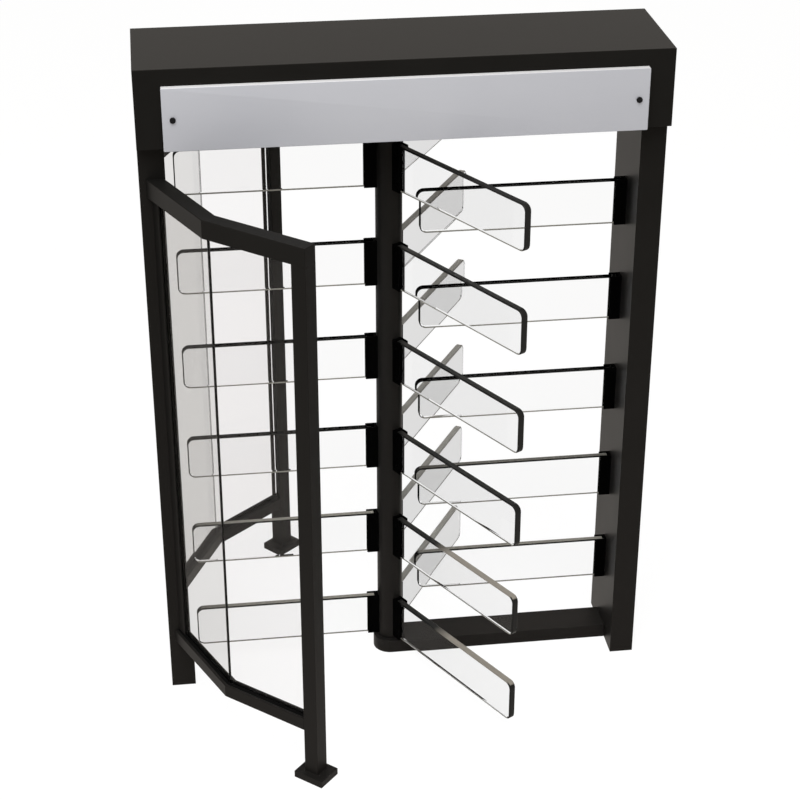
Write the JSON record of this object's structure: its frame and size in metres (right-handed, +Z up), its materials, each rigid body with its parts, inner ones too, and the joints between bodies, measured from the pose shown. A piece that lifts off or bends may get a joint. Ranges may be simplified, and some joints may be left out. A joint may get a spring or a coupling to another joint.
{
  "type": "full height turnstile",
  "caption": "Full height turnstile with a winged rotor of clear plates that mesh with a fixed comb, glazed guards, a floor beam and a header that holds the lock and drive.",
  "frame": {"origin": "on the floor in the middle of the bounding box", "axes": "+Z up, +X toward the comb's post, -Y toward the front with the locked panel"},
  "size_m": [1.676, 1.5934, 2.3],
  "materials": {
    "dark_steel": "near-black satin powder coat on steel",
    "bright_panel": "brushed stainless sheet with a bright folded edge",
    "rotor_plate": "clear polycarbonate plate of 25 mm with polished edges",
    "comb_plate": "clear polycarbonate plate of 25 mm with polished edges",
    "guard_pane": "clear toughened glass of 12 mm",
    "lock": "black lock head",
    "plated_steel": "zinc plated sheet and plate",
    "machined_steel": "machined steel, lightly oiled",
    "bearing_bronze": "turned bearing bronze",
    "motor_housing": "black painted motor housing",
    "control_box": "grey moulded box"
  },
  "bodies": {
    "frame": {"comb_blade_1": "comb_plate", "comb_blade_2": "comb_plate", "comb_blade_3": "comb_plate", "comb_blade_4": "comb_plate", "comb_blade_5": "comb_plate", "front_guard_top_rail": "dark_steel", "front_guard_bottom_rail": "dark_steel", "front_guard_post": "dark_steel", "front_guard_wall_pane": "guard_pane", "front_guard_end_pane": "guard_pane", "rear_guard_top_rail": "dark_steel", "rear_guard_bottom_rail": "dark_steel", "rear_guard_post": "dark_steel", "rear_guard_wall_pane": "guard_pane", "rear_guard_end_pane": "guard_pane", "header_cover": "dark_steel", "header_chassis": "dark_steel", "guard_side_post": "dark_steel", "comb_side_post": "dark_steel", "floor_beam": "dark_steel", "front_panel": "bright_panel", "rear_panel": "bright_panel", "mechanism_plate": "plated_steel", "entry_solenoid": "plated_steel", "exit_solenoid": "plated_steel", "bottom_pivot": "machined_steel", "bottom_bearing": "bearing_bronze", "top_bearing": "bearing_bronze", "drive_motor": "motor_housing", "control_box": "control_box"},
    "rotor": {"rotor_column": "dark_steel", "drive_shaft": "machined_steel", "index_wheel": "machined_steel", "drive_gear": "machined_steel", "left_wing_blade_1": "rotor_plate", "left_wing_blade_2": "rotor_plate", "left_wing_blade_3": "rotor_plate", "left_wing_blade_4": "rotor_plate", "left_wing_blade_5": "rotor_plate", "left_wing_blade_6": "rotor_plate", "front_wing_blade_1": "rotor_plate", "front_wing_blade_2": "rotor_plate", "front_wing_blade_3": "rotor_plate", "front_wing_blade_4": "rotor_plate", "front_wing_blade_5": "rotor_plate", "front_wing_blade_6": "rotor_plate", "rear_wing_blade_1": "rotor_plate", "rear_wing_blade_2": "rotor_plate", "rear_wing_blade_3": "rotor_plate", "rear_wing_blade_4": "rotor_plate", "rear_wing_blade_5": "rotor_plate", "rear_wing_blade_6": "rotor_plate"},
    "pinion": {"motor_pinion": "machined_steel"},
    "entry_pawl_body": {"entry_pawl": "machined_steel"},
    "exit_pawl_body": {"exit_pawl": "machined_steel"},
    "entry_plunger_body": {"entry_plunger": "machined_steel"},
    "exit_plunger_body": {"exit_plunger": "machined_steel"},
    "left_lock": {"front_panel_lock_left": "lock"},
    "right_lock": {"front_panel_lock_right": "lock"}
  },
  "joints": [
    {"name": "rotor_spin", "type": "hinge", "parent": "frame", "child": "rotor", "pos_m": [-0.036, 0, 0], "axis": [0, 0, 1], "continuous": true},
    {"name": "pinion_spin", "type": "hinge", "parent": "frame", "child": "pinion", "pos_m": [0.084, 0, 0], "axis": [0, 0, 1], "continuous": true},
    {"name": "entry_pawl_swing", "type": "hinge", "parent": "frame", "child": "entry_pawl_body", "pos_m": [-0.102, 0.108, 2.1114], "axis": [0, 0, -1], "range_deg": [0, 10.5]},
    {"name": "exit_pawl_swing", "type": "hinge", "parent": "frame", "child": "exit_pawl_body", "pos_m": [-0.102, -0.108, 2.1114], "axis": [0, 0, 1], "range_deg": [0, 10.5]},
    {"name": "entry_plunger_draw", "type": "slide", "parent": "frame", "child": "entry_plunger_body", "axis": [0, 1, 0], "range_m": [0, 0.00825]},
    {"name": "exit_plunger_draw", "type": "slide", "parent": "frame", "child": "exit_plunger_body", "axis": [0, -1, 0], "range_m": [0, 0.00825]},
    {"name": "left_lock_turn", "type": "hinge", "parent": "frame", "child": "left_lock", "pos_m": [-0.723, -0.2333, 2.14525], "axis": [0, 1, 0], "range_deg": [0, 90]},
    {"name": "right_lock_turn", "type": "hinge", "parent": "frame", "child": "right_lock", "pos_m": [0.723, -0.2333, 2.14525], "axis": [0, -1, 0], "range_deg": [0, 90]}
  ],
  "couplings": [
    {"joint": "pinion_spin", "follows": "rotor_spin", "ratio": -3},
    {"joint": "entry_plunger_draw", "follows": "entry_pawl_swing", "m_per_rad": 0.044749},
    {"joint": "exit_plunger_draw", "follows": "exit_pawl_swing", "m_per_rad": 0.044749}
  ]
}
